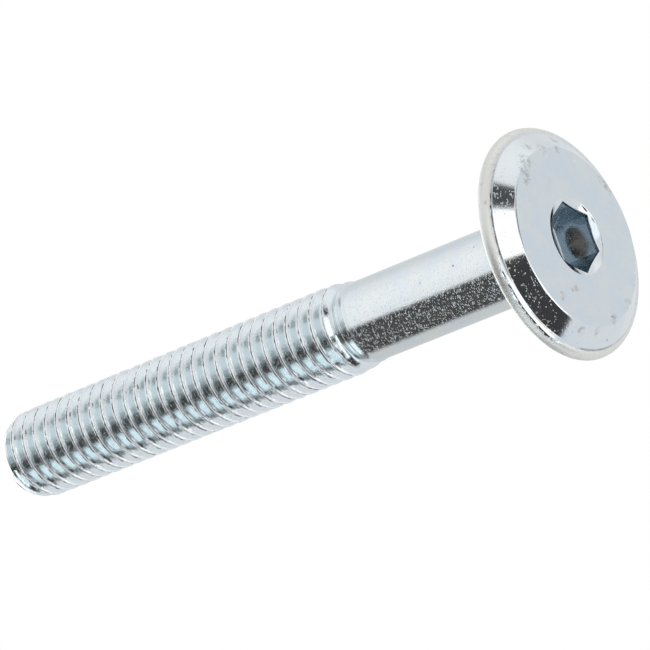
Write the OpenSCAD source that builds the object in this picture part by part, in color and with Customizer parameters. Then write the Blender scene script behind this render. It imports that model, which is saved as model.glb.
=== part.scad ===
// Furniture connector bolt, cold headed in one piece: a thin flat head with a bevel
// and a hexagon socket, a plain shank, and a rolled metric thread with a run-out.
// It stands on the flat face of its head. The origin is the centre of that face,
// and +Z runs up the shank to the tip. Millimetres.

/* [Head] */
// Largest diameter of the head, over its rounded rim
head_d = 14.8; // [12:0.1:20]
// Thickness of the head, from its flat face to its underside
head_h = 1.7; // [1.65:0.05:4]
// Width of the bevel round the flat face, measured along the radius
bevel_w = 1.18; // [0.6:0.02:2]
// Depth of the bevel below the flat face
bevel_h = 0.9; // [0.5:0.05:1.2]
// Radius that blends the flat face into the bevel
face_round = 0.25; // [0.1:0.05:1.4]
// How far the rounded rim stands out past the bevel
rim_w = 0.52; // [0.3:0.02:0.8]
// Radius of the edge between the rim and the underside
rim_back_round = 0.25; // [0.1:0.05:0.4]
// Radius of the fillet between the underside and the shank
neck_round = 0.35; // [0.1:0.05:1]

/* [Hexagon socket] */
// Width of the socket across its flats, for a 4 mm key
socket_af = 4; // [3:0.05:4.1]
// Depth of the straight hexagon, measured from the flat face
socket_depth = 2.8; // [1.6:0.1:4]
// Diameter of the countersunk mouth on the flat face
mouth_d = 4.9; // [4.8:0.05:6]
// Angle of the countersunk mouth from side to side
mouth_angle = 140; // [90:5:150]
// Diameter of the conical bottom where it leaves the hexagon's floor
pit_d = 2; // [1:0.1:3.4]
// Angle of the conical bottom from side to side
pit_angle = 120; // [90:5:140]

/* [Shank and thread] */
// Length from the underside of the head to the tip
bolt_length = 45; // [35:1:100]
// Diameter of the plain shank
shank_d = 5.2; // [5:0.05:5.5]
// Outer diameter of the thread, over its crests
thread_d = 5.9; // [5.6:0.05:6]
// Pitch of the right-hand thread
pitch = 1; // [0.75:0.25:1.25]
// Angle round the bolt at which a crest stands at whole pitches above the head's face
thread_turn = 240; // [0:15:345]
// Length of the thread with its tip and run-out
thread_length = 30.5; // [15:0.5:32]
// Length over which the thread fades into the shank
runout = 2.6; // [1:0.1:5]
// Diameter of the flat end at the tip
tip_d = 4.4; // [3.6:0.1:4.6]
// Length over which the tip rounds down
tip_length = 1.9; // [1:0.1:3]

/* [Hidden] */
plating = [0.80, 0.83, 0.85];

// Facets of the round cuts and turned surfaces, and of one turn of the thread
round_fn = 96;
turn_fn = 32;
// Steps of an arc in the head's section
arc_steps = 6;
// A cut reaches this far past the surface that it opens
overcut = 0.5;
// The thread's core starts this far inside the end of the shank
seat = 0.3;
// and is this much smaller than the shank there
seat_step = 0.03;

head_r = head_d / 2;
shank_r = shank_d / 2;
bevel_end_r = head_r - rim_w;
face_r = bevel_end_r - bevel_w;
bevel_slope = atan(bevel_h / bevel_w);
// Height at which the rim is widest, where its two round edges meet
rim_z = head_h - rim_back_round;
// Radius of the rim's front edge, which starts at the bevel's end and is upright at rim_z
rim_front_round = (pow(rim_w, 2) + pow(rim_z - bevel_h, 2)) / (2 * rim_w);
rim_front_start = -asin((rim_z - bevel_h) / rim_front_round);

tip_z = head_h + bolt_length;
shank_end_z = tip_z - thread_length;
thread_start_z = shank_end_z - seat;

// Basic 60 degree profile: a crest flat of pitch/8, a root flat of pitch/4
crest_half = pitch / 16;
root_half = pitch / 8;
flank_run = pitch / 2 - crest_half - root_half;
crest_r = thread_d / 2;
root_r = crest_r - flank_run / tan(30);
start_r = shank_r - seat_step;
tip_r = tip_d / 2;

function arc(center, radius, from, to) =
    [for (i = [0 : arc_steps])
        let (a = from + (to - from) * i / arc_steps)
        center + radius * [cos(a), sin(a)]];

// Right half of the section through the head and the plain shank
function bolt_section() = concat(
    [[0, 0]],
    arc([face_r - face_round * tan(bevel_slope / 2), face_round], face_round,
        -90, -90 + bevel_slope),
    arc([head_r - rim_front_round, rim_z], rim_front_round, rim_front_start, 0),
    arc([head_r - rim_back_round, rim_z], rim_back_round, 15, 90),
    arc([shank_r + neck_round, head_h + neck_round], neck_round, 270, 180),
    [[shank_r, shank_end_z], [0, shank_end_z]]
);

// Thread radius at a distance along the axis from the middle of a crest
function formed_r(offset) =
    let (turns = offset / pitch,
         away = abs(turns - round(turns)) * pitch)
    away <= crest_half ? crest_r :
    away >= crest_half + flank_run ? root_r :
    crest_r - (away - crest_half) * (crest_r - root_r) / flank_run;

// How far the thread is formed at a height: 0 where the run-out starts, 1 past it
function formed_share(z) =
    let (t = min(1, max(0, (z - shank_end_z) / runout)))
    t * t * (3 - 2 * t);

// The tip rounds down along a quarter ellipse that is cut off at the flat end
function tip_limit(z) =
    let (t = max(0, z - (tip_z - tip_length)) / tip_length,
         full = sqrt(1 - pow(tip_r / crest_r, 2)))
    crest_r * sqrt(1 - pow(t * full, 2));

function thread_r(angle, z) = min(
    tip_limit(z),
    start_r + (formed_r(z - pitch * angle / 360) - start_r) * formed_share(z)
);

// Edges of the crest and root flats within one pitch
flat_edges = [-crest_half, crest_half, pitch / 2 - root_half, pitch / 2 + root_half];
first_turn = floor(thread_start_z / pitch) - 2;
last_turn = ceil(tip_z / pitch) + 2;
rows = (last_turn - first_turn + 1) * len(flat_edges);

// Height of a row of the thread's net, which climbs one pitch in each turn
function row_z(column, row) =
    pitch * (first_turn + floor(row / len(flat_edges)) + column / turn_fn)
    + flat_edges[row % len(flat_edges)];

function net_point(column, row) =
    let (angle = 360 * column / turn_fn,
         z = min(tip_z, max(thread_start_z, row_z(column, row))),
         r = thread_r(angle, z))
    [r * cos(angle), r * sin(angle), z];

// Rows below the start or past the tip share the column's first or last point,
// and the column after the last one is the first one, a whole turn further up
function net_index(column, row) =
    let (z = row_z(column, row),
         wrapped = column == turn_fn,
         lane = wrapped ? 0 : column)
    z <= thread_start_z ? lane * rows :
    z >= tip_z ? lane * rows + rows - 1 :
    lane * rows + row + (wrapped ? len(flat_edges) : 0);

function is_triangle(f) = f[0] != f[1] && f[1] != f[2] && f[2] != f[0];

module thread() {
    points = [for (c = [0 : turn_fn - 1]) for (r = [0 : rows - 1]) net_point(c, r)];
    sides = [for (c = [0 : turn_fn - 1]) for (r = [0 : rows - 2])
        let (a = net_index(c, r), b = net_index(c + 1, r),
             d = net_index(c, r + 1), e = net_index(c + 1, r + 1))
        each [[a, d, e], [a, e, b]]];
    start_face = [for (c = [0 : turn_fn - 1]) c * rows];
    end_face = [for (c = [turn_fn - 1 : -1 : 0]) c * rows + rows - 1];
    polyhedron(
        points = points,
        faces = concat([for (f = sides) if (is_triangle(f)) f], [start_face, end_face]),
        convexity = 10
    );
}

// Hexagon with a countersunk mouth and a conical pit in its floor
module socket() {
    mouth_r = mouth_d / 2;
    mouth_depth = mouth_r / tan(mouth_angle / 2);
    pit_r = pit_d / 2;
    translate([0, 0, -overcut])
        cylinder(h = socket_depth + overcut, d = socket_af / cos(30), $fn = 6);
    translate([0, 0, -overcut])
        cylinder(h = mouth_depth + overcut,
                 r1 = mouth_r * (1 + overcut / mouth_depth), r2 = 0, $fn = round_fn);
    translate([0, 0, socket_depth])
        cylinder(h = pit_r / tan(pit_angle / 2), r1 = pit_r, r2 = 0, $fn = round_fn);
}

module furniture_bolt() {
    color(plating)
        union() {
            difference() {
                rotate_extrude($fn = round_fn) polygon(bolt_section());
                socket();
            }
            rotate([0, 0, thread_turn]) thread();
        }
}

furniture_bolt();
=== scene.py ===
"""A zinc-plated furniture connector bolt, standing on the flat face of its head."""

import math

import bmesh
import bpy
from mathutils import Matrix, Vector, noise


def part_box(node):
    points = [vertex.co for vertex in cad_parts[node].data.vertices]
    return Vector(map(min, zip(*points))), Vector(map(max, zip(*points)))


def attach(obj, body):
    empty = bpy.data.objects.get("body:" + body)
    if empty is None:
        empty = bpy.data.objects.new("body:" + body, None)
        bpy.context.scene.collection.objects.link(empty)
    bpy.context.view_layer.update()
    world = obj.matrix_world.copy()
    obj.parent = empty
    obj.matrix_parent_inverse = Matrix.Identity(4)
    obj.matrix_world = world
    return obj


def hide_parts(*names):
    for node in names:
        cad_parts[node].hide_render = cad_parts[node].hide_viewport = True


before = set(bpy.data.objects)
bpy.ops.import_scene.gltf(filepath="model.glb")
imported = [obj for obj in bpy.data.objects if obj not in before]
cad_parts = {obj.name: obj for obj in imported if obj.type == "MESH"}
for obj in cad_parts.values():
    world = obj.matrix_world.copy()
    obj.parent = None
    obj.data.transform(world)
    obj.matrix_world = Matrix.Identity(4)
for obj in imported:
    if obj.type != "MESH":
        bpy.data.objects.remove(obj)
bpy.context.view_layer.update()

MM = 0.001
TURN = 2 * math.pi

# ---------------------------------------------------------------- sizes, in millimetres

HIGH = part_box("furniture_bolt")[1] / MM
TIP_Z = HIGH.z
HEAD_R = HIGH.x

# Head
HEAD_H = 1.7
RIM_W = 0.52
RIM_BACK_ROUND = 0.25
BEVEL_W = 1.18
BEVEL_H = 0.9
FACE_ROUND = 0.25
NECK_ROUND = 0.35

# The slightly crowned land on the rim: its radius, the tilts between which it runs and the
# tilt at which the rim turns away to the back, in degrees
RIM_LAND_ROUND = 1.02
RIM_LAND_TILTS = (10, 26)
RIM_TURN_TILT = 33

# The rim is matt from this radius outwards, or from the larger one on its polished side,
# which is given as a direction. The matt edge wanders by EDGE_WANDER
RIM_MATT_R = 6.93
RIM_POLISHED_R = 7.2
POLISHED_SIDE = Vector((-0.47, -0.883))
EDGE_WANDER = 0.3

# Socket, with the slope of its mouth in degrees
SOCKET_AF = 4.0
SOCKET_DEPTH = 2.8
MOUTH_R = 2.45
MOUTH_SLOPE = 20
PIT_R = 1.0
PIT_DEPTH = 0.577

# Shank and thread. At an angle of 0 a crest stands this share of a pitch above whole pitches
SHANK_R = 2.6
CREST_R = 2.95
PITCH = 1.0
CREST_PHASE = 1 / 3
THREAD_LENGTH = 30.5
RUNOUT = 2.6
RUNOUT_Z = TIP_Z - THREAD_LENGTH
TIP_R = 2.2
TIP_LENGTH = 1.9
TIP_CUP = 0.12
TIP_EDGE = 0.12

# Half of the crest's section, from the seam that rolling leaves in its middle down the flank:
# distance along the axis and rise over the crest's radius
ROLLED_CREST = (
    (0.0, -0.045), (0.026, -0.034), (0.052, -0.001), (0.066, -0.004), (0.081, -0.025),
    (0.095, -0.056), (0.235, -0.299),
)
THREAD_DEPTH = 0.613
ROOT_R = CREST_R - THREAD_DEPTH
ROOT_ROUND = 0.144

# How far the crests' lips wander, and how quickly
JAGGED = 0.022
JAGGED_PER_MM = 3.1

# Columns of the mesh round the bolt, and its rings: where the thread joins the shank, from
# there down the shank, across the underside, along the bevel as shares of its width, over the
# face and along the socket's walls
COLUMNS = 120
JOIN_Z = RUNOUT_Z - 0.4
SHANK_RINGS = 30
SHANK_RING_STEP = 0.45
UNDERSIDE_RINGS = (3.6, 4.8, 6.0)
BEVEL_RINGS = (0.04, 0.3, 0.6, 0.9)
FACE_RINGS = (5.5, 5.2, 4.6, 4.0, 3.4, 2.9, 2.6)
SOCKET_RINGS = (0.4, 1.0, 1.7, 2.3)

# Vertices closer than this are merged, and an open loop lies this close to its height
MERGE = 1e-4


# ---------------------------------------------------------------- turned and rolled shapes

def arc(cx, cz, radius, start, end, steps):
    """Points of an arc in the bolt's half section, as (radius, height), angles in degrees."""
    angles = [math.radians(start + (end - start) * i / steps) for i in range(steps + 1)]
    return [(cx + radius * math.cos(a), cz + radius * math.sin(a)) for a in angles]


def head_section():
    """The half section from the shank down over the head to the mouth of the socket."""
    rim_z = HEAD_H - RIM_BACK_ROUND
    rim_front = (RIM_W ** 2 + (rim_z - BEVEL_H) ** 2) / (2 * RIM_W)
    slope = math.degrees(math.atan2(BEVEL_H, BEVEL_W))
    bevel_end = HEAD_R - RIM_W
    blend_r = bevel_end - BEVEL_W - FACE_ROUND * math.tan(math.radians(slope / 2))
    lowest = HEAD_H + NECK_ROUND + 0.1
    heights = [JOIN_Z - i * SHANK_RING_STEP for i in range(1, SHANK_RINGS + 1)]
    shank = [(SHANK_R, z) for z in heights if z > lowest]
    neck = arc(SHANK_R + NECK_ROUND, HEAD_H + NECK_ROUND, NECK_ROUND, 180, 270, 6)
    underside = [(r, HEAD_H) for r in UNDERSIDE_RINGS]
    back = arc(HEAD_R - RIM_BACK_ROUND, rim_z, RIM_BACK_ROUND, 90, 0, 6)
    front = arc(HEAD_R - rim_front, rim_z, rim_front, 0, RIM_TURN_TILT - 90, 8)
    inner, outer = RIM_LAND_TILTS
    land = arc(bevel_end - RIM_LAND_ROUND * math.sin(math.radians(inner)),
               BEVEL_H + RIM_LAND_ROUND * math.cos(math.radians(inner)),
               RIM_LAND_ROUND, outer - 90, inner - 90, 5)
    bevel = [(bevel_end - BEVEL_W * s, BEVEL_H * (1 - s)) for s in BEVEL_RINGS]
    blend = arc(blend_r, FACE_ROUND, FACE_ROUND, -90 + slope, -90, 5)
    face = [(r, 0.0) for r in FACE_RINGS]
    return shank + neck + underside + back + front[1:] + land[1:] + bevel + blend + face


def thread_section():
    """One pitch of the rolled thread's section, from root to root: (radius, height) points."""
    tilts = [math.radians(tilt) for tilt in (60, 45, 30, 15)]
    half = list(ROLLED_CREST)
    half += [(PITCH / 2 - ROOT_ROUND * math.sin(a),
              ROOT_R - CREST_R + ROOT_ROUND * (1 - math.cos(a))) for a in tilts]
    rising = [(CREST_R + drop, -along) for along, drop in reversed(half)]
    falling = [(CREST_R + drop, along) for along, drop in half[1:]]
    return [(ROOT_R, -PITCH / 2)] + rising + falling + [(ROOT_R, PITCH / 2)]


def polyline(bm, points):
    """A chain of edges in the XZ plane through (radius, height) points."""
    verts = [bm.verts.new((r, 0, z)) for r, z in points]
    edges = [bm.edges.new(pair) for pair in zip(verts, verts[1:])]
    return verts + edges


def spin(bm, parts, turns, climb=0.0):
    """Sweeps the parts about the bolt's axis, climbing by a pitch in each turn."""
    steps = round(COLUMNS * turns)
    bmesh.ops.spin(
        bm, geom=parts, cent=(0, 0, 0), axis=(0, 0, 1), dvec=(0, 0, climb / COLUMNS),
        angle=TURN * turns, steps=steps, use_merge=False, use_duplicate=False,
    )
    bmesh.ops.remove_doubles(bm, verts=bm.verts, dist=MERGE)


def smooth_step(t):
    """Rises smoothly from 0 to 1 as t does."""
    t = min(1.0, max(0.0, t))
    return t * t * (3 - 2 * t)


def tip_limit(z):
    """Largest radius at a height near the tip, a quarter ellipse cut off at the flat end."""
    t = max(0.0, z - (TIP_Z - TIP_LENGTH)) / TIP_LENGTH
    full = 1 - (TIP_R / CREST_R) ** 2
    return CREST_R * math.sqrt(max(0.01, 1 - t * t * full))


def open_loop(bm, z):
    """The boundary edges at a height."""
    return [e for e in bm.edges
            if e.is_boundary and all(abs(v.co.z - z) < MERGE for v in e.verts)]


def rolled_thread(bm):
    """The threaded length: one turn of section, stacked up the axis and cut off level.

    It fades into the shank, rounds down at the tip, and its crests' lips wander a little.
    """
    start = (math.floor(JOIN_Z / PITCH) - 2 + CREST_PHASE) * PITCH
    spin(bm, polyline(bm, [(r, z + start) for r, z in thread_section()]), 1, PITCH)
    one_turn = bm.verts[:] + bm.edges[:] + bm.faces[:]
    for turn in range(1, math.ceil((TIP_Z - start) / PITCH) + 2):
        copy = bmesh.ops.duplicate(bm, geom=one_turn)["geom"]
        verts = [g for g in copy if isinstance(g, bmesh.types.BMVert)]
        bmesh.ops.translate(bm, verts=verts, vec=(0, 0, turn * PITCH))
    bmesh.ops.remove_doubles(bm, verts=bm.verts, dist=MERGE)
    for v in bm.verts:
        r = math.hypot(v.co.x, v.co.y)
        formed = smooth_step((v.co.z - RUNOUT_Z) / RUNOUT)
        wanted = min(tip_limit(v.co.z), SHANK_R + (r - SHANK_R) * formed)
        crest = smooth_step((r - CREST_R + 0.06) / 0.05) * formed
        wanted += JAGGED * crest * (noise.noise(v.co * JAGGED_PER_MM) - 0.45)
        v.co.xy *= wanted / r
    for z, side in ((JOIN_Z, -1), (TIP_Z, 1)):
        bmesh.ops.bisect_plane(
            bm, geom=bm.verts[:] + bm.edges[:] + bm.faces[:], dist=1e-6,
            plane_co=(0, 0, z), plane_no=(0, 0, side), clear_outer=True,
        )


def ring_in(bm, edges, place):
    """Extrudes an open ring of edges and puts each new vertex where place says."""
    made = bmesh.ops.extrude_edge_only(bm, edges=edges)["geom"]
    for v in (g for g in made if isinstance(g, bmesh.types.BMVert)):
        v.co = place(v.co)
    return [g for g in made if isinstance(g, bmesh.types.BMEdge) and g.is_boundary]


def at_radius(radius, z):
    """A placing rule: a circle of this radius at this height."""
    return lambda co: Vector((co.x, co.y, 0)).normalized() * radius + Vector((0, 0, z))


def hex_radius(co):
    """Distance from the axis to the socket's wall in a vertex's direction."""
    away = (math.atan2(co.y, co.x) - math.pi / 6) % (math.pi / 3)
    return SOCKET_AF / 2 / math.cos(min(away, math.pi / 3 - away))


def on_hexagon(z, grow=0.0):
    """A placing rule: the socket's hexagon at this height."""
    return lambda co: at_radius(hex_radius(co) + grow, z)(co)


def countersunk_edge(grow, sink):
    """A placing rule: where the mouth's cone meets the hexagon's walls."""
    def place(co):
        r = hex_radius(co) + grow
        return at_radius(r, (MOUTH_R - r) * math.tan(math.radians(MOUTH_SLOPE)) + sink)(co)
    return place


def sunk_socket(bm):
    """Mouth, hexagon and conical pit, drawn in from the open ring on the head's face."""
    rounded_mouth = [
        at_radius(MOUTH_R + 0.06, 0), at_radius(MOUTH_R + 0.02, 0.015), at_radius(MOUTH_R, 0.035),
        countersunk_edge(0.05, 0.03), countersunk_edge(0.012, 0.04), countersunk_edge(0, 0.065),
    ]
    walls = [on_hexagon(z) for z in SOCKET_RINGS]
    rounded_foot = [on_hexagon(SOCKET_DEPTH - 0.06), on_hexagon(SOCKET_DEPTH, -0.06)]
    pit = [
        at_radius(PIT_R + 0.3, SOCKET_DEPTH), at_radius(PIT_R, SOCKET_DEPTH + 0.01),
        at_radius(PIT_R * 0.6, SOCKET_DEPTH + PIT_DEPTH * 0.4),
        at_radius(PIT_R * 0.2, SOCKET_DEPTH + PIT_DEPTH * 0.8),
    ]
    ring = open_loop(bm, 0)
    for place in rounded_mouth + walls + rounded_foot + pit:
        ring = ring_in(bm, ring, place)
    close_ring(bm, ring, (0, 0, SOCKET_DEPTH + PIT_DEPTH))


def close_ring(bm, ring, point):
    """Closes an open ring to one point on the axis."""
    ring = ring_in(bm, ring, lambda co: Vector(point) + Vector((co.x, co.y, 0)) * 1e-4)
    verts = list(dict.fromkeys(v for e in ring for v in e.verts))
    bmesh.ops.pointmerge(bm, verts=verts, merge_co=point)


def cupped_tip(bm):
    """The end of the thread: a flat ring round a slightly cupped face."""
    ring = open_loop(bm, TIP_Z)
    for place in (
        at_radius(TIP_R - TIP_EDGE, TIP_Z),
        at_radius(TIP_R * 0.7, TIP_Z - TIP_CUP * 0.7),
        at_radius(TIP_R * 0.35, TIP_Z - TIP_CUP),
    ):
        ring = ring_in(bm, ring, place)
    close_ring(bm, ring, (0, 0, TIP_Z - TIP_CUP))


def bolt_mesh():
    """The whole bolt as one closed mesh, in metres."""
    bm = bmesh.new()
    spin(bm, polyline(bm, head_section()), 1)
    shank_top = max(v.co.z for v in bm.verts)
    sunk_socket(bm)
    screw = bmesh.new()
    rolled_thread(screw)
    mesh = bpy.data.meshes.new("rolled thread")
    screw.to_mesh(mesh)
    screw.free()
    bm.from_mesh(mesh)
    bpy.data.meshes.remove(mesh)
    bmesh.ops.bridge_loops(bm, edges=open_loop(bm, shank_top) + open_loop(bm, JOIN_Z))
    cupped_tip(bm)
    bmesh.ops.transform(bm, matrix=Matrix.Scale(MM, 4), verts=bm.verts)
    bmesh.ops.recalc_face_normals(bm, faces=bm.faces)
    return bm


# Edges that fold by more than this are drawn sharp, in degrees
SHARP = 40


def make_piece(name, bm, material):
    """A finished object at the origin from a mesh in metres."""
    mesh = bpy.data.meshes.new(name)
    bm.to_mesh(mesh)
    bm.free()
    mesh.shade_smooth()
    mesh.set_sharp_from_angle(angle=math.radians(SHARP))
    mesh.materials.append(material)
    piece = bpy.data.objects.new(name, mesh)
    bpy.context.collection.objects.link(piece)
    return piece


# ---------------------------------------------------------------- materials

# Names that add() sets on the node itself, not on one of its inputs
NODE_SETTINGS = ("operation", "data_type", "interpolation_type")


def add(tree, kind, **sockets):
    """A node with inputs set or linked by name, or by number under a name like in_0."""
    node = tree.nodes.new(kind)
    for name, value in sockets.items():
        if name in NODE_SETTINGS:
            setattr(node, name, value)
            continue
        key = int(name[3:]) if name.startswith("in_") else name.replace("_", " ")
        socket = node.inputs[key]
        if isinstance(value, bpy.types.NodeSocket):
            tree.links.new(value, socket)
        else:
            socket.default_value = value
    return node


def math_node(tree, operation, *values):
    """A Math node's output."""
    numbered = {f"in_{i}": value for i, value in enumerate(values)}
    return add(tree, "ShaderNodeMath", operation=operation, **numbered).outputs[0]


def product(tree, *values):
    """Values multiplied together, from the left."""
    total = values[0]
    for value in values[1:]:
        total = math_node(tree, "MULTIPLY", total, value)
    return total


def weighted(tree, base, *terms):
    """A base value plus each mask times its weight."""
    total = base
    for mask, weight in terms:
        total = math_node(tree, "MULTIPLY_ADD", mask, weight, total)
    return total


def noise_at(tree, place, scale, **settings):
    """A noise texture's value, near 0.5 on average, with scale in features to the metre."""
    return add(tree, "ShaderNodeTexNoise", Vector=place, Scale=scale, **settings).outputs[0]


def step(tree, value, start, end):
    """A mask that rises smoothly from 0 at start to 1 at end."""
    node = add(tree, "ShaderNodeMapRange", interpolation_type="SMOOTHSTEP", Value=value)
    node.inputs["From Min"].default_value = start
    node.inputs["From Max"].default_value = end
    return node.outputs["Result"]


def blend(tree, mask, first, second):
    """The first colour where the mask is 0 and the second where it is 1."""
    mix = add(tree, "ShaderNodeMix", data_type="RGBA", in_0=mask, in_6=first, in_7=second)
    return mix.outputs[2]


def new_group(name, inputs, outputs):
    """A node group with its interface; returns the group and its input and output nodes."""
    group = bpy.data.node_groups.new(name, "ShaderNodeTree")
    for socket, kind in inputs:
        group.interface.new_socket(socket, in_out="INPUT", socket_type=kind)
    for socket, kind in outputs:
        group.interface.new_socket(socket, in_out="OUTPUT", socket_type=kind)
    return group, group.nodes.new("NodeGroupInput"), group.nodes.new("NodeGroupOutput")


ZONES = ("Rim", "Head", "Socket", "Pit", "Thread", "Crest", "Seam", "Lip")


def zones_group():
    """Masks for the parts of the bolt, each 0 to 1, from the place on it."""
    group, start, end = new_group(
        "bolt zones", [("Place", "NodeSocketVector")], [(n, "NodeSocketFloat") for n in ZONES])
    scaled = add(group, "ShaderNodeVectorMath", operation="SCALE", in_0=start.outputs[0])
    scaled.inputs["Scale"].default_value = 1 / MM
    x, y, z = add(group, "ShaderNodeSeparateXYZ", in_0=scaled.outputs[0]).outputs
    radius = math_node(group, "SQRT", math_node(
        group, "ADD", product(group, x, x), product(group, y, y)))
    wander = noise_at(group, start.outputs[0], 2400, Detail=2.0)

    # 1 towards the rim's polished side and -1 away from it
    facing = math_node(group, "DIVIDE", math_node(
        group, "MULTIPLY_ADD", x, POLISHED_SIDE.x, product(group, y, POLISHED_SIDE.y)), radius)
    edge = math_node(group, "MULTIPLY_ADD", wander, EDGE_WANDER,
                     math_node(group, "SUBTRACT", radius, EDGE_WANDER / 2))
    matt_r = math_node(group, "MULTIPLY_ADD", step(group, facing, 0.84, 0.93),
                       RIM_POLISHED_R - RIM_MATT_R, RIM_MATT_R)
    past_edge = math_node(group, "SUBTRACT", edge, matt_r)

    inside = step(group, radius, MOUTH_R - 0.02, MOUTH_R - 0.08)
    sunk = step(group, z, 0.12, 0.3)
    in_depth = step(group, z, 4.0, 3.9)
    in_pit_r = step(group, radius, PIT_R + 0.15, PIT_R - 0.05)
    in_pit_z = product(group, step(group, z, SOCKET_DEPTH - 0.2, SOCKET_DEPTH - 0.1), in_depth)
    thread = step(group, z, RUNOUT_Z, RUNOUT_Z + 1)
    crest = product(group, thread, step(group, radius, CREST_R - 0.15, CREST_R - 0.04))

    # The corner between bevel and rim, where the crease is painted darker as shade, mostly on the
    # polished side
    off_corner = math_node(group, "ABSOLUTE", math_node(
        group, "SUBTRACT", radius, HEAD_R - RIM_W + 0.04))
    corner = product(group, step(group, off_corner, 0.09, 0.03), step(group, facing, -0.1, 0.7))

    # Distance along the axis from the middle of the nearest crest
    unwound = math_node(group, "MULTIPLY_ADD", math_node(group, "ARCTAN2", y, x), -PITCH / TURN, z)
    aside = math_node(group, "ABSOLUTE", math_node(
        group, "WRAP", math_node(group, "SUBTRACT", unwound, CREST_PHASE * PITCH),
        PITCH / 2, -PITCH / 2))
    aside = math_node(group, "MULTIPLY_ADD", wander, 0.16, aside)

    masks = {
        "Rim": step(group, past_edge, 0.0, 0.1),
        "Head": step(group, z, HEAD_H + 0.4, HEAD_H + 0.1),
        "Socket": product(group, inside, sunk, in_depth),
        "Pit": product(group, in_pit_r, in_pit_z),
        "Thread": thread,
        "Crest": crest,
        # Seam is where a line of painted shade runs along the middle of the crests
        "Seam": product(group, crest, step(group, aside, 0.120, 0.095)),
        # Lip is where shade is painted into the crease between bevel and rim
        "Lip": product(group, corner, step(group, z, BEVEL_H + 0.2, BEVEL_H + 0.1)),
    }
    for name in ZONES:
        group.links.new(masks[name], end.inputs[name])
    return group


# The grain changes faster along the axis than round it
GRAIN_SHAPE = (1, 1, 2.4)


def grain_group():
    """Height of the plating's surface: fine grain, broader unevenness and small steep dents."""
    group, start, end = new_group(
        "plating grain",
        [("Place", "NodeSocketVector"), ("Coarse", "NodeSocketFloat"),
         ("Dents", "NodeSocketFloat")],
        [("Height", "NodeSocketFloat")])
    place = add(group, "ShaderNodeVectorMath", operation="MULTIPLY", in_0=start.outputs["Place"],
                in_1=GRAIN_SHAPE).outputs[0]
    fine = noise_at(group, place, 9000, Detail=2.0, Roughness=0.6)
    broad = noise_at(group, place, 3300, Detail=2.0)
    dents = step(group, noise_at(group, place, 5600, Detail=1.0), 0.61, 0.67)
    grain = math_node(group, "MULTIPLY_ADD", broad, 0.35, product(group, fine, 0.55))
    grain = product(group, grain, start.outputs["Coarse"])
    deep = product(group, dents, start.outputs["Dents"])
    group.links.new(math_node(group, "SUBTRACT", grain, deep), end.inputs["Height"])
    return group


def spots(tree, place, centres):
    """A mask of small soft spots, each given as x, y, z and size in millimetres."""
    total = None
    for x, y, z, size in centres:
        away = add(tree, "ShaderNodeVectorMath", operation="DISTANCE", in_0=place)
        away.inputs[1].default_value = (x * MM, y * MM, z * MM)
        spot = step(tree, away.outputs["Value"], size * MM, size * 0.4 * MM)
        total = spot if total is None else math_node(tree, "MAXIMUM", total, spot)
    return total


# Marks in the plating, each with x, y, z and size in millimetres
SMUDGES = (
    (6.4, -5.3, 0.6, 0.5), (5.2, -2.46, 0, 0.75), (4.75, -2.94, 0, 0.6), (4.2, -2.8, 0, 0.5),
    (3.9, -3.2, 0, 0.4), (6.1, -4.3, 0.5, 0.7), (5.6, -4.7, 0.5, 0.7), (3.07, 4.53, 0, 0.4),
    (2.72, 4.76, 0, 0.4), (2.23, 5.03, 0, 0.35), (-5.4, 0.9, 0, 0.5), (-4.8, 2.9, 0, 0.5),
    (-5.6, -2.4, 0.3, 0.4), (-5.8, -1.0, 0.3, 0.4), (5.5, 1.2, 0, 0.4), (5.7, -0.3, 0.1, 0.5),
    (6.1, -1.3, 0.4, 0.5), (4.7, 4.3, 0.4, 0.45), (1.0, 6.0, 0.3, 0.5), (-1.6, 5.7, 0.1, 0.45),
    (-4.0, 4.3, 0, 0.4), (-2.9, 5.3, 0.3, 0.4), (6.2, 2.0, 0.5, 0.5), (-5.0, 3.6, 0.2, 0.35),
)
DOTS = (
    (6.7, -1.42, 0.5, 0.09), (6.04, -2.14, 0.2, 0.1), (6.0, -2.0, 0.2, 0.1),
    (-5.26, 0.75, 0, 0.08), (-5.9, 1.15, 0, 0.09), (-6.5, 0.35, 0.6, 0.09),
    (0.95, -2.42, 7.65, 0.1), (0.74, -2.49, 10.35, 0.07), (1.57, -2.07, 5.96, 0.07),
)
RUST = ((-3.13, -3.47, 0, 0.2), (-3.35, -3.28, 0, 0.25), (-3.49, -3.6, 0, 0.18),
        (-3.04, -1.89, 0, 0.3), (-3.1, -2.3, 0, 0.2))

# Colours of the plating on its zones, of what has settled on it, and of shade painted into the
# crests' seam, the crease at the rim and the socket
ZINC_DULL = (0.765, 0.815, 0.855, 1)
ZINC_CLEAN = (0.82, 0.845, 0.84, 1)
ZINC_THREAD = (0.80, 0.85, 0.865, 1)
ZINC_CREST = (0.93, 0.94, 0.95, 1)
ZINC_RIM = (0.86, 0.845, 0.80, 1)
# Painted shade: the zinc inside the socket is darkened to stand for the shade of the recess
SOCKET_PAINTED_SHADE = (0.58, 0.645, 0.69, 1)
# Painted shade: a dark line along the seam that rolling leaves in the middle of each crest
SEAM_PAINTED_SHADE = (0.11, 0.11, 0.12, 1)
# Painted shade in the crease between bevel and rim, mottled by the cloud noise
CREASE_PAINTED_SHADE = (0.30, 0.28, 0.25, 1)
RIM_DIRT = (0.45, 0.43, 0.38, 1)
SMUDGE_GREY = (0.50, 0.50, 0.50, 1)
DOT_DARK = (0.30, 0.31, 0.32, 1)
RUST_BROWN = (0.62, 0.48, 0.36, 1)
PIT_DIRT = (0.24, 0.205, 0.175, 1)

# Height of the grain, in metres
GRAIN_HEIGHT = 0.000009


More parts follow.
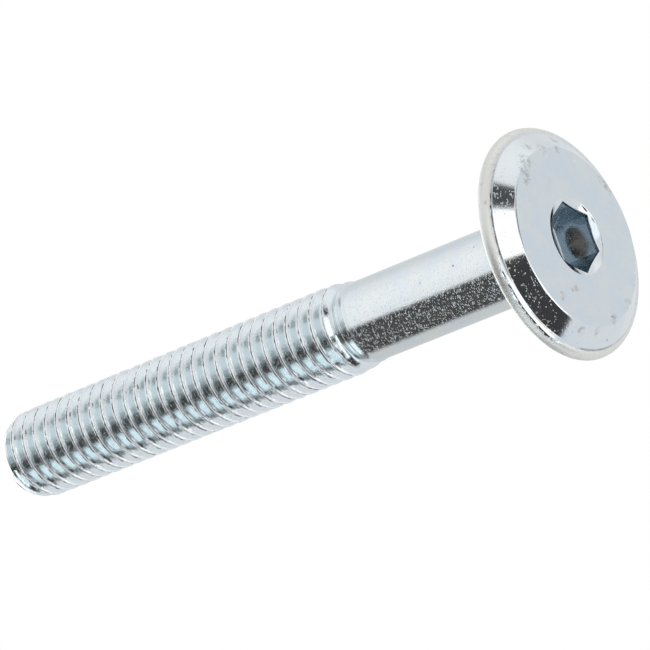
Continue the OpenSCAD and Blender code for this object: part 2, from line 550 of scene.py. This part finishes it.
def bright_zinc():
    """Bright zinc plating over cold-headed steel."""
    material = bpy.data.materials.new("bright zinc")
    material.use_nodes = True
    tree = material.node_tree
    shader = tree.nodes["Principled BSDF"]
    shader.inputs["Metallic"].default_value = 1.0
    place = add(tree, "ShaderNodeTexCoord").outputs["Object"]
    zones = add(tree, "ShaderNodeGroup")
    zones.node_tree = zones_group()
    tree.links.new(place, zones.inputs["Place"])
    rim, head, socket, pit, thread, crest, seam, crease_shade = (zones.outputs[n] for n in ZONES)

    cloud = noise_at(tree, place, 520, Detail=5.0, Roughness=0.65)
    speck = noise_at(tree, place, 2600, Detail=3.0, Roughness=0.7)
    clouds = step(tree, cloud, 0.38, 0.62)
    stain = product(tree, spots(tree, place, SMUDGES), step(tree, speck, 0.42, 0.62))
    colour = ZINC_DULL
    for mask, shade in (
        (clouds, ZINC_CLEAN),
        (thread, ZINC_THREAD),
        (crest, ZINC_CREST),
        # painted shade along the crests' seam
        (seam, SEAM_PAINTED_SHADE),
        (rim, ZINC_RIM),
        # painted shade in the crease between bevel and rim
        (product(tree, crease_shade, step(tree, cloud, 0.40, 0.58), 0.8), CREASE_PAINTED_SHADE),
        (product(tree, rim, step(tree, speck, 0.60, 0.72), 0.5), RIM_DIRT),
        (product(tree, stain, 0.75), SMUDGE_GREY),
        (spots(tree, place, DOTS), DOT_DARK),
        (product(tree, spots(tree, place, RUST), step(tree, speck, 0.35, 0.6), 0.8), RUST_BROWN),
        # painted shade inside the socket
        (socket, SOCKET_PAINTED_SHADE),
        (pit, PIT_DIRT),
    ):
        colour = blend(tree, mask, colour, shade)
    tree.links.new(colour, shader.inputs["Base Color"])

    rough = weighted(tree, 0.06, (clouds, 0.03), (thread, -0.01), (crest, 0.11), (rim, 0.33),
                     (stain, 0.2), (pit, 0.4))
    tree.links.new(rough, shader.inputs["Roughness"])

    # The head's dents are faint, but for patches where the speck noise is high
    coarse = weighted(tree, 1.0, (rim, 3.5), (head, -0.7), (thread, -0.1), (crest, 4.0),
                      (socket, -0.6))
    on_head = weighted(tree, -1.2, (step(tree, speck, 0.50, 0.60), 0.5))
    dents = weighted(tree, 1.25, (head, on_head), (thread, -0.75))
    grain = add(tree, "ShaderNodeGroup")
    grain.node_tree = grain_group()
    for name, value in (("Place", place), ("Coarse", coarse), ("Dents", dents)):
        tree.links.new(value, grain.inputs[name])
    bump = add(tree, "ShaderNodeBump", Strength=1.0, Distance=GRAIN_HEIGHT,
               Height=grain.outputs["Height"])
    tree.links.new(bump.outputs["Normal"], shader.inputs["Normal"])
    return material


# ---------------------------------------------------------------- studio

# Cards of the room that the metal mirrors, each laid over those before it. Each has the azimuth
# and elevation of its middle, half its width and height in azimuth and elevation and its
# softness, all in degrees, and its shade
CARD_SIZES = ("Middle Azimuth", "Middle Elevation", "Half Width", "Half Height", "Softness")
CARDS = (
    (85, -34, 40, 16, 24, (0.73, 0.765, 0.80)),
    (22, -24, 24, 20, 16, (0.92, 0.95, 0.97)),
    (132, 36, 36, 14, 12, (0.64, 0.655, 0.665)),
    (-50, 6, 20, 18, 10, (0.80, 0.88, 0.915)),
    (-68, -68, 24, 11, 6, (1.4, 1.4, 1.4)),
    (-34, -62, 18, 8.5, 5, (1.4, 1.4, 1.4)),
    (-144.5, -53, 58.5, 25, 4, (0.05, 0.05, 0.052)),
    (-135.5, 8, 55.5, 41, 18, (0.072, 0.068, 0.066)),
    (-181, 0, 12, 24, 8, (0.19, 0.20, 0.21)),
    (-148, 8, 22, 15, 18, (1.04, 1.19, 1.25)),
    (-160, -18, 34, 13, 6, (0.95, 1.05, 1.10)),
    (-121, -50, 29, 10, 4, (1.25, 1.32, 1.38)),
    (-160, -46, 13, 6, 4, (1.25, 1.32, 1.38)),
    (-197, -75, 27, 11, 3, (0.95, 1.08, 1.15)),
    (-5, -49.5, 12, 6.5, 4, (0.08, 0.08, 0.085)),
    (64, -60, 16, 10, 5, (0.06, 0.06, 0.065)),
    (0, -90, 360, 12, 5, (1.05, 1.10, 1.15)),
    (124, -65, 30, 12, 5, (1.7, 1.7, 1.7)),
    (-53, 37, 44, 9, 12, (1.0, 1.02, 1.03)),
    (-5, 37, 14, 9, 22, (0.90, 0.93, 0.95)),
    (46, 37, 18, 9, 30, (0.68, 0.72, 0.73)),
    (-18, 8, 13, 8, 12, (0.41, 0.44, 0.45)),
    (-80, 0, 10, 26, 20, (0.42, 0.47, 0.49)),
    (0, 80, 360, 26, 8, (1.45, 1.48, 1.5)),
)
ROOM = (0.78, 0.805, 0.83)


def card_group():
    """Mask of one card of the room."""
    names = ("Azimuth", "Elevation") + CARD_SIZES
    group, start, end = new_group(
        "card", [(n, "NodeSocketFloat") for n in names], [("Mask", "NodeSocketFloat")])
    give = start.outputs
    turn = math_node(group, "WRAP", math_node(
        group, "SUBTRACT", give["Azimuth"], give["Middle Azimuth"]), 180.0, -180.0)
    across = math_node(group, "SUBTRACT", give["Half Width"], math_node(group, "ABSOLUTE", turn))
    rise = math_node(group, "SUBTRACT", give["Elevation"], give["Middle Elevation"])
    along = math_node(group, "SUBTRACT", give["Half Height"], math_node(group, "ABSOLUTE", rise))
    masks = []
    for edge in (across, along):
        share = math_node(group, "MULTIPLY_ADD", math_node(
            group, "DIVIDE", edge, give["Softness"]), 1.0, 0.5)
        masks.append(step(group, share, 0.0, 1.0))
    group.links.new(product(group, *masks), end.inputs["Mask"])
    return group


def studio_world():
    """White to the camera; a pale room with dark and bright cards for what the metal mirrors."""
    world = bpy.data.worlds.new("studio")
    bpy.context.scene.world = world
    world.use_nodes = True
    tree = world.node_tree
    tree.nodes.clear()
    towards = add(tree, "ShaderNodeTexCoord").outputs["Generated"]
    x, y, z = add(tree, "ShaderNodeSeparateXYZ", in_0=towards).outputs
    azimuth = product(tree, math_node(tree, "ARCTAN2", y, x), 360 / TURN)
    elevation = product(tree, math_node(tree, "ARCSINE", z), 360 / TURN)
    group = card_group()
    colour = (*ROOM, 1)
    for *sizes, shade in CARDS:
        node = add(tree, "ShaderNodeGroup")
        node.node_tree = group
        tree.links.new(azimuth, node.inputs["Azimuth"])
        tree.links.new(elevation, node.inputs["Elevation"])
        for name, size in zip(CARD_SIZES, sizes):
            node.inputs[name].default_value = size
        colour = blend(tree, node.outputs["Mask"], colour, (*shade, 1))
    room = add(tree, "ShaderNodeBackground", Color=colour)
    white = add(tree, "ShaderNodeBackground", Color=(1, 1, 1, 1))
    seen = add(tree, "ShaderNodeLightPath").outputs["Is Camera Ray"]
    mix = add(tree, "ShaderNodeMixShader", in_0=seen, in_1=room.outputs[0], in_2=white.outputs[0])
    add(tree, "ShaderNodeOutputWorld", Surface=mix.outputs[0])


# The floor's side, and how far it stands clear of the head's face so that the two never
# coincide, in metres, and its colour
FLOOR_SIDE = 4
FLOOR_GAP = 0.0001
FLOOR_COLOUR = (0.86, 0.86, 0.87, 1)


def floor():
    """A pale floor that shows from above and lets light and the camera through from below."""
    bpy.ops.mesh.primitive_plane_add(size=FLOOR_SIDE, location=(0, 0, -FLOOR_GAP))
    plane = bpy.context.object
    plane.name = "floor"
    material = bpy.data.materials.new("pale floor")
    material.use_nodes = True
    tree = material.node_tree
    tree.nodes.clear()
    matt = add(tree, "ShaderNodeBsdfDiffuse", Color=FLOOR_COLOUR)
    clear = add(tree, "ShaderNodeBsdfTransparent")
    below = add(tree, "ShaderNodeNewGeometry").outputs["Backfacing"]
    mix = add(tree, "ShaderNodeMixShader", in_0=below, in_1=matt.outputs[0], in_2=clear.outputs[0])
    add(tree, "ShaderNodeOutputMaterial", Surface=mix.outputs[0])
    plane.data.materials.append(material)
    plane.visible_diffuse = False
    plane.visible_glossy = False
    plane.visible_transmission = False
    plane.visible_shadow = False


# The camera: the direction in which it stands and its roll, in degrees, its distance from the
# point it looks at, that point, its sensor and lens, all in millimetres, and its clipping
# distances in metres
CAMERA_AZIMUTH = -95.39
CAMERA_ELEVATION = -36.56
CAMERA_ROLL = 112.13
CAMERA_DISTANCE = 351.9
CAMERA_AIM = Vector((0.77, -0.07, 20.05))
SENSOR = 36.0
LENS = 311.6
CLIP = (0.01, 20)


def camera():
    """Looks up at the head's face past the rim, along the shank, with the tip to the lower left."""
    a, e = math.radians(CAMERA_AZIMUTH), math.radians(CAMERA_ELEVATION)
    towards = Vector((math.cos(a) * math.cos(e), math.sin(a) * math.cos(e), math.sin(e)))
    data = bpy.data.cameras.new("camera")
    data.sensor_width = SENSOR
    data.lens = LENS
    data.clip_start, data.clip_end = CLIP
    cam = bpy.data.objects.new("camera", data)
    bpy.context.collection.objects.link(cam)
    level = towards.to_track_quat("Z", "Y").to_matrix().to_4x4()
    roll = Matrix.Rotation(math.radians(-CAMERA_ROLL), 4, "Z")
    stand = Matrix.Translation((CAMERA_AIM + towards * CAMERA_DISTANCE) * MM)
    cam.matrix_world = stand @ level @ roll
    bpy.context.scene.camera = cam


def build():
    """The studio with the bolt in it."""
    bpy.context.scene.view_settings.view_transform = "Standard"
    camera()
    studio_world()
    floor()
    bolt = make_piece("zinc_bolt", bolt_mesh(), bright_zinc())
    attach(bolt, "root")
    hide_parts("furniture_bolt")


build()
